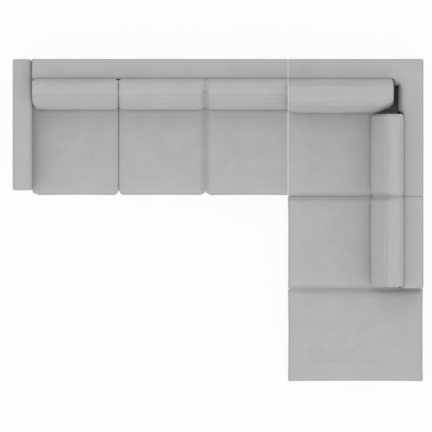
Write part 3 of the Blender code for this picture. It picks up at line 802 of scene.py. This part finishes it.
def sew_cushions():
    """Fills the cushions, seams them, presses the seats flat under the backs and dresses them."""
    forms = cushion_forms()
    cushions = [form[1] for form in forms]
    starts = [(points(obj), points(obj, "normal")) for obj in cushions]
    for obj, (places, facing) in zip(cushions, starts):
        move_points(obj, places - START_SMALLER * facing)
    blow_up(cushions)
    standing = {"corner_seat_cushion": ("corner_rear_back_cushion", "corner_side_back_cushion")}
    for seed, ((node, obj, distance, free, closed), (places, facing)) in enumerate(zip(forms, starts)):
        move = evened(held_in(points(obj) - places, facing, free), net_edges(obj), MOVE_EVENING)
        move_points(obj, places + kept_closed(move, facing, closed))
        seamed(obj, distance, closed, seed)
        if "_seat_" in node and node != "ottoman_seat_cushion":
            pressed_under(obj, standing.get(node, (node.replace("_seat_", "_back_"),)))
        changed(obj, "SUBSURF", levels=1, render_levels=1)
        obj.data.shade_smooth()
        dressed(obj, "grey_fabric", node.removesuffix("_cushion"), node)
        SEAT_FILL if "_seat_" in node else BACK_FILL


def rolled(places, inner, top):
    """Rolls the corner back's padding out over the gap, where no cushion presses it. inner gives the
    lines of its two inner faces at the top."""
    rake = (BACK_FOOT_THICKNESS - BACK_TOP_THICKNESS) / (top - DECK_Z)
    height = places[:, 2]
    into = np.array(inner) - places[:, :2]
    beyond = into - (rake * (top - np.clip(height, DECK_Z, top)))[:, None]
    over = np.sqrt(1 - np.clip((height - ROLL_CROWN) / (top - ROLL_CROWN), 0, 1) ** 2)
    over += ROLL_CORNER_SHARE * (1 - over) * np.exp(-np.sum((beyond / ROLL_CORNER) ** 2, axis=1))
    grown = over * stepped((height - ROLL_FOOT) / (ROLL_CROWN - ROLL_FOOT))
    starts = stepped((places[:, :2] - ROLL_STARTS) / ROLL_EASE)
    inside = np.all(into > -2 * INNER_ROUNDING, axis=1)
    for axis in range(2):
        kept = np.clip(1 - beyond[:, axis] / ROLL_BLEND, 0, 1)
        places[:, axis] -= ROLL_REACH[axis] * grown * starts[:, 1 - axis] * kept * inside
    return places


def fitted(obj, node, rounding, seams, joints=(), roll=None):
    """Rounds a block's edges, opens it underneath and nets it, then seams it and gives it a cloth's
    thickness. seams is a function from the points to their distance from the nearest seam, joints are
    the flat faces with edges of their own, an axis, a place and a rounding, and roll moves the points."""
    floor = points(obj)[:, 2].min()

    def radius_of(edge):
        if edge.calc_face_angle(0.0) < SHARP_ANGLE or not edge.is_convex:
            return 0.0
        if max(point.co.z for point in edge.verts) < floor + SAME_PLACE:
            return HEM_ROUNDING
        for axis, place, own in joints:
            if all(abs(point.co[axis] - place) < SAME_PLACE for point in edge.verts):
                return own
        return rounding

    def underneath(face):
        return face.normal.z < -0.99 and face.calc_center_median().z < floor + SAME_PLACE

    softened(obj, radius_of)
    bpy.ops.object.mode_set(mode="EDIT")
    selected(obj, "FACE", underneath)
    bpy.ops.mesh.delete(type="FACE")
    bpy.ops.object.mode_set(mode="OBJECT")
    net_planes(obj, ROLLED_NET if roll else COVER_NET)
    if roll:
        move_points(obj, roll(points(obj)))
    places, facing = points(obj), points(obj, "normal")
    distance = seams(places)
    height = WAVE_HEIGHT / 2 * waves(places, WAVE_LENGTH, len(places)) - COVER_CLEAR
    for axis, place, _ in joints:
        height[abs(places[:, axis] - place) < SAME_PLACE] = -COVER_CLEAR
    height -= COVER_PINCH * np.exp(-((distance / PINCH_WIDTH) ** 2))
    move_points(obj, leant(places + facing * height[:, None]))
    marked(obj, "seam", distance)
    changed(obj, "SOLIDIFY", thickness=COVER_CLOTH, offset=-1.0)
    only(obj)
    bpy.ops.object.shade_smooth_by_angle(angle=SHARP_ANGLE)
    dressed(obj, "grey_fabric", "frame", node)


def reaching(box, joints):
    """A node's box, drawn out to where its ends meet their neighbours."""
    low, high = np.array(box[0]), np.array(box[1])
    for axis, place, _ in joints:
        (low if abs(low[axis] - place) < abs(high[axis] - place) else high)[axis] = place
    return low, high


# The ends of each section that close against a neighbour: an axis, a place and a rounding
JOINTS = {
    "long": [
        (0, ARM_LINE + ARM_SEAT_CLEAR, TIGHT_ROUNDING),
        (0, SECTION_LINE - RUN_GAP / 2, TIGHT_ROUNDING),
    ],
    "corner": [(0, SECTION_LINE + RUN_GAP / 2, TIGHT_ROUNDING), (1, CORNER_LINE + MEETING, TIGHT_ROUNDING)],
    "armless": [(1, CORNER_LINE - MEETING, TIGHT_ROUNDING), (1, OTTOMAN_LINE + MEETING, TIGHT_ROUNDING)],
    "ottoman": [(1, OTTOMAN_LINE - MEETING, TIGHT_ROUNDING)],
}


def base_cover(section):
    """The wrap over a base, seamed just below the edge of its deck."""
    node = f"{section}_base_cover"
    low, high = reaching(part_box(node), JOINTS[section])
    seam_z = high[2] - BASE_SEAM_DROP
    obj = block(f"{node}_fitted", low, high)
    fitted(obj, node, BASE_ROUNDING, lambda places: places[:, 2] - seam_z, JOINTS[section])


def arm_cover():
    """The arm: side panels, and a band between them that runs over the top and down both ends."""
    low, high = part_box("left_arm_cover")
    middle, half = (low[0] + high[0]) / 2, (high[0] - low[0]) / 2 - ARM_SEAM_INSET
    obj = block("left_arm_cover_fitted", low, high)
    inner = [(0, high[0], ARM_ROUNDING)]
    fitted(obj, "left_arm_cover", PADDED_ROUNDING, lambda places: half - abs(places[:, 0] - middle), inner)


def raked(obj, outer_x, outer_y):
    """Thickens a back below the deck, and slopes its inner face from there to its top."""
    only(obj)
    bpy.ops.object.mode_set(mode="EDIT")
    bpy.ops.mesh.select_all(action="SELECT")
    bpy.ops.mesh.bisect(plane_co=(0.0, 0.0, DECK_Z), plane_no=UP)
    bpy.ops.object.mode_set(mode="OBJECT")
    places = points(obj)
    lower = places[:, 2] < DECK_Z + SAME_PLACE
    for axis, outer in ((1, outer_y), (0, outer_x)):
        if outer is not None:
            inner = abs(places[:, axis] - outer + BACK_TOP_THICKNESS) < SAME_PLACE
            places[lower & inner, axis] -= BACK_FOOT_THICKNESS - BACK_TOP_THICKNESS
    move_points(obj, places)


def lid_seam(outline):
    """The seam round a back's top panel: the distance from an outline, drawn in a little from the edge
    and kept off the sides."""

    def distance(places):
        inside = np.full(len(places), -1.0)
        for x0, x1, y0, y1 in outline:
            sides = (places[:, 0] - x0, x1 - places[:, 0], places[:, 1] - y0, y1 - places[:, 1])
            inside = np.maximum(inside, np.min(sides, axis=0))
        seam = np.clip(inside - LID_SEAM_INSET, None, SEAM_REACH)
        return np.where(inside < LID_EDGE, -SEAM_REACH, seam)

    return distance


def back_covers():
    """The three padded backs."""
    low, high = reaching(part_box("long_back_cover"), JOINTS["long"])
    obj = block("long_back_cover_fitted", (low[0], high[1] - BACK_TOP_THICKNESS, low[2]), high)
    raked(obj, None, high[1])
    inner = high[1] - BACK_TOP_THICKNESS
    seams = lid_seam([(low[0], high[0], inner, high[1])])
    fitted(obj, "long_back_cover", PADDED_ROUNDING, seams, [*JOINTS["long"], (1, inner, INNER_ROUNDING)])

    low, high = reaching(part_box("armless_back_cover"), JOINTS["armless"][:1])
    obj = block("armless_back_cover_fitted", (high[0] - BACK_TOP_THICKNESS, low[1], low[2]), high)
    raked(obj, high[0], None)
    inner = high[0] - BACK_TOP_THICKNESS
    seams = lid_seam([(inner, high[0], low[1], high[1])])
    joints = [JOINTS["armless"][0], (0, inner, INNER_ROUNDING)]
    fitted(obj, "armless_back_cover", PADDED_ROUNDING, seams, joints)

    low, high = reaching(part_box("corner_back_cover"), JOINTS["corner"])
    inner_x, inner_y = high[0] - BACK_TOP_THICKNESS, high[1] - BACK_TOP_THICKNESS
    obj = block("corner_back_cover_fitted", (low[0], inner_y, low[2]), high)
    bpy.ops.object.mode_set(mode="EDIT")
    bpy.ops.mesh.select_all(action="SELECT")
    bpy.ops.mesh.bisect(plane_co=(inner_x, 0.0, 0.0), plane_no=-LEFT)
    selected(obj, "FACE", lambda face: face.normal.y < -0.9 and face.calc_center_median().x > inner_x)
    bpy.ops.mesh.extrude_region_move(TRANSFORM_OT_translate={"value": (0.0, low[1] - inner_y, 0.0)})
    bpy.ops.object.mode_set(mode="OBJECT")
    raked(obj, high[0], high[1])
    seams = lid_seam([(low[0], high[0], inner_y, high[1]), (inner_x, high[0], low[1], high[1])])
    inner = [(0, inner_x, INNER_ROUNDING), (1, inner_y, INNER_ROUNDING)]
    joints = [*JOINTS["corner"], *inner]

    def roll(places):
        return rolled(places, (inner_x, inner_y), high[2])

    fitted(obj, "corner_back_cover", PADDED_ROUNDING, seams, joints, roll)


def strap(name, centre, length, along_y, crossings, first_over, level):
    """One strap of webbing, over and under the straps that it crosses."""
    pieces = int(length / STRAP_NET)
    bpy.ops.mesh.primitive_grid_add(x_subdivisions=STRAP_LANES, y_subdivisions=pieces, size=1.0)
    bpy.context.object.scale = (STRAP_WIDTH, length, 1.0)
    obj = added(name)
    places = points(obj)
    across, along = places[:, 0].copy(), places[:, 1].copy()
    start = centre[1] if along_y else centre[0]
    stations = [-length / 2, *(crossing - start for crossing in crossings), length / 2]
    sides = [0.0, *((1.0 if (i % 2 == 0) == first_over else -1.0) for i in range(len(crossings))), 0.0]
    rise = STRAP_WEAVE * np.interp(along, stations, sides)
    x, y = (across, along) if along_y else (along, -across)
    move_points(obj, np.stack((centre[0] + x, centre[1] + y, level + rise), axis=1))
    marked(obj, "across", across)
    marked(obj, "along", along)
    return changed(obj, "SOLIDIFY", thickness=STRAP_THICKNESS, offset=0.0)


def webbing(section, seats):
    """The straps of one base, woven through each other."""
    node = f"{section}_seat_webbing"
    low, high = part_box(node)
    level = (low[2] + high[2]) / 2
    x0, x1 = low[0] + WEBBING_HOLD, high[0] - WEBBING_HOLD
    y0, y1 = low[1] + WEBBING_HOLD, high[1] - WEBBING_HOLD
    counts = [STRAPS_PER_SEAT * seats, STRAPS_ACROSS]
    if section in ("armless", "ottoman"):
        counts.reverse()
    columns = x0 + (x1 - x0) * (np.arange(counts[0]) + 0.5) / counts[0]
    rows = y0 + (y1 - y0) * (np.arange(counts[1]) + 0.5) / counts[1]
    size, middle = np.array(high) - np.array(low), (np.array(low) + np.array(high)) / 2
    straps = []
    for i, x in enumerate(columns):
        straps.append(strap(f"{node}_column_{i}", (x, middle[1]), size[1], True, rows, i % 2 == 0, level))
    for i, y in enumerate(rows):
        straps.append(strap(f"{node}_row_{i}", (middle[0], y), size[0], False, columns, i % 2 == 1, level))
    only(straps[0])
    for obj in straps[1:]:
        obj.select_set(True)
    bpy.ops.object.join()
    straps[0].name = f"{node}_woven"
    straps[0].data.shade_smooth()
    dressed(straps[0], "elastic_webbing", "frame", node)


def dust_cover(section):
    """The cloth stapled under a base, sagging a little between its rails."""
    node = f"{section}_dust_cover"
    low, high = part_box(node)
    size, middle = np.array(high) - np.array(low), (np.array(low) + np.array(high)) / 2
    counts = [int(length / DUST_NET) for length in size[:2]]
    bpy.ops.mesh.primitive_grid_add(x_subdivisions=counts[0], y_subdivisions=counts[1], size=1.0)
    bpy.context.object.scale = (size[0], size[1], 1.0)
    bpy.context.object.location = (middle[0], middle[1], middle[2])
    obj = added(f"{node}_sagging")
    places = points(obj)
    shares = (places[:, :2] - np.array(low[:2])) / size[:2]
    uneven = 1 + DUST_UNEVEN * waves(places, DUST_WAVE, DUST_SEED)
    sag = (np.sin(pi * shares) ** 2).prod(axis=1) * uneven
    places[:, 2] -= DUST_SAG * sag
    move_points(obj, places)
    changed(obj, "SOLIDIFY", thickness=DUST_CLOTH, offset=0.0)
    obj.data.shade_smooth()
    dressed(obj, "black_dust_cloth", "frame", node)


def turned_foot():
    """A tapered plastic foot with a glide pad under it and a stud on top, centred on the axis."""
    low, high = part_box("corner_foot_1")
    height, reach = high[2] - low[2], (high[0] - low[0]) / 2
    shoulder = height - FOOT_STUD
    size = {"radius1": FOOT_TOE, "radius2": reach, "depth": shoulder}
    bpy.ops.mesh.primitive_cone_add(vertices=FOOT_SIDES, location=(0.0, 0.0, shoulder / 2), **size)
    obj = added("foot")
    bpy.ops.object.mode_set(mode="EDIT")
    selected(obj, "FACE", lambda face: face.normal.z < -0.9)
    bpy.ops.mesh.inset(thickness=GLIDE_INSET)
    bpy.ops.transform.translate(value=(0.0, 0.0, GLIDE_DEPTH))
    bpy.ops.mesh.inset(thickness=GLIDE_GROOVE)
    bpy.ops.transform.translate(value=(0.0, 0.0, -GLIDE_DEPTH))
    selected(obj, "FACE", lambda face: face.normal.z > 0.9)
    bpy.ops.mesh.inset(thickness=reach - STUD_RADIUS)
    bpy.ops.mesh.extrude_region_move(TRANSFORM_OT_translate={"value": (0.0, 0.0, height - shoulder)})

    def rim(edge):
        reaches = [point.co.xy.length for point in edge.verts]
        heights = [point.co.z for point in edge.verts]
        level = any(max(abs(z - end) for z in heights) < SAME_PLACE for end in (0.0, shoulder))
        return level and min(reaches) > FOOT_TOE - FOOT_EDGE

    selected(obj, "EDGE", rim)
    bpy.ops.mesh.bevel(offset=FOOT_EDGE, segments=3, affect="EDGES")
    bpy.ops.object.mode_set(mode="OBJECT")
    bpy.ops.object.shade_smooth_by_angle(angle=SHARP_ANGLE)
    return obj


def feet():
    """A copy of the turned foot for every foot."""
    pattern = turned_foot()
    places = points(pattern)
    for node in sorted(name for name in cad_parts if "_foot_" in name):
        low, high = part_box(node)
        middle = (np.array(low) + np.array(high)) / 2
        obj = bpy.data.objects.new(f"{node}_turned", pattern.data.copy())
        bpy.context.scene.collection.objects.link(obj)
        move_points(obj, places + (middle[0], middle[1], low[2]))
        dressed(obj, "black_plastic", "frame", node)
    bpy.data.objects.remove(pattern)


def refinish_solids():
    """New finishes on the hard solids that stay: frames, links and bolts."""
    for name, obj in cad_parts.items():
        if name.endswith("_frame"):
            finish = FINISHES["pine_timber"]
        elif "_link" in name or "_bolt_" in name:
            finish = FINISHES["zinc_steel"]
        else:
            continue
        for slot in obj.material_slots:
            slot.material = finish


def studio():
    """A white floor under a soft sky and a faint broad lamp, and the camera straight above."""
    scene = bpy.context.scene
    scene.view_settings.view_transform = "Standard"
    world = bpy.data.worlds.new("soft_sky")
    world.use_nodes = True
    world.node_tree.nodes["Background"].inputs["Color"].default_value = (1.0, 1.0, 1.0, 1.0)
    world.node_tree.nodes["Background"].inputs["Strength"].default_value = SKY_LIGHT
    scene.world = world
    lamp = bpy.data.lights.new("front_light", "SUN")
    lamp.energy = FRONT_LIGHT
    lamp.angle = FRONT_BREADTH
    front = bpy.data.objects.new("front_light", lamp)
    scene.collection.objects.link(front)
    front.rotation_euler = FRONT_TURN

    bpy.ops.mesh.primitive_plane_add(size=FLOOR_SIZE)
    floor = added("studio_floor")
    white = Finish("floor_white", {"Base Color": (FLOOR_WHITE,) * 3 + (1.0,), "Roughness": 1.0})
    tree = white.tree
    seen = white.node("ShaderNodeLightPath")
    glow = white.node("ShaderNodeEmission", None, {"Color": (1.0, 1.0, 1.0, 1.0), "Strength": FLOOR_GLOW})
    pale = white.node("ShaderNodeBsdfDiffuse", None, {"Color": (FLOOR_SHADE,) * 3 + (1.0,)})
    both = white.node("ShaderNodeAddShader", None, {0: glow.outputs[0], 1: pale.outputs[0]})
    direct, glossy = [Number(white, seen.outputs[f"Is {kind} Ray"]) for kind in ("Camera", "Glossy")]
    rays = direct.maths("MAXIMUM", direct, glossy)
    inputs = {0: rays, 1: white.shader.outputs[0], 2: both.outputs[0]}
    choice = white.node("ShaderNodeMixShader", None, inputs)
    tree.links.new(choice.outputs[0], tree.nodes["Material Output"].inputs["Surface"])
    floor.data.materials.append(white.material)

    lens = bpy.data.cameras.new("camera")
    lens.sensor_width = SENSOR_WIDTH
    lens.lens = SENSOR_WIDTH * (CAMERA_HEIGHT - SPAN_LEVEL) / PHOTO_SPAN
    lens.clip_start = 1.0
    lens.clip_end = 2 * CAMERA_HEIGHT
    camera = bpy.data.objects.new("camera", lens)
    scene.collection.objects.link(camera)
    camera.location = (*PHOTO_CENTRE, CAMERA_HEIGHT)
    scene.camera = camera


refinish_solids()
sew_cushions()
for section in ("long", "corner", "armless", "ottoman"):
    base_cover(section)
    webbing(section, 3 if section == "long" else 1)
    dust_cover(section)
arm_cover()
back_covers()
feet()
studio()
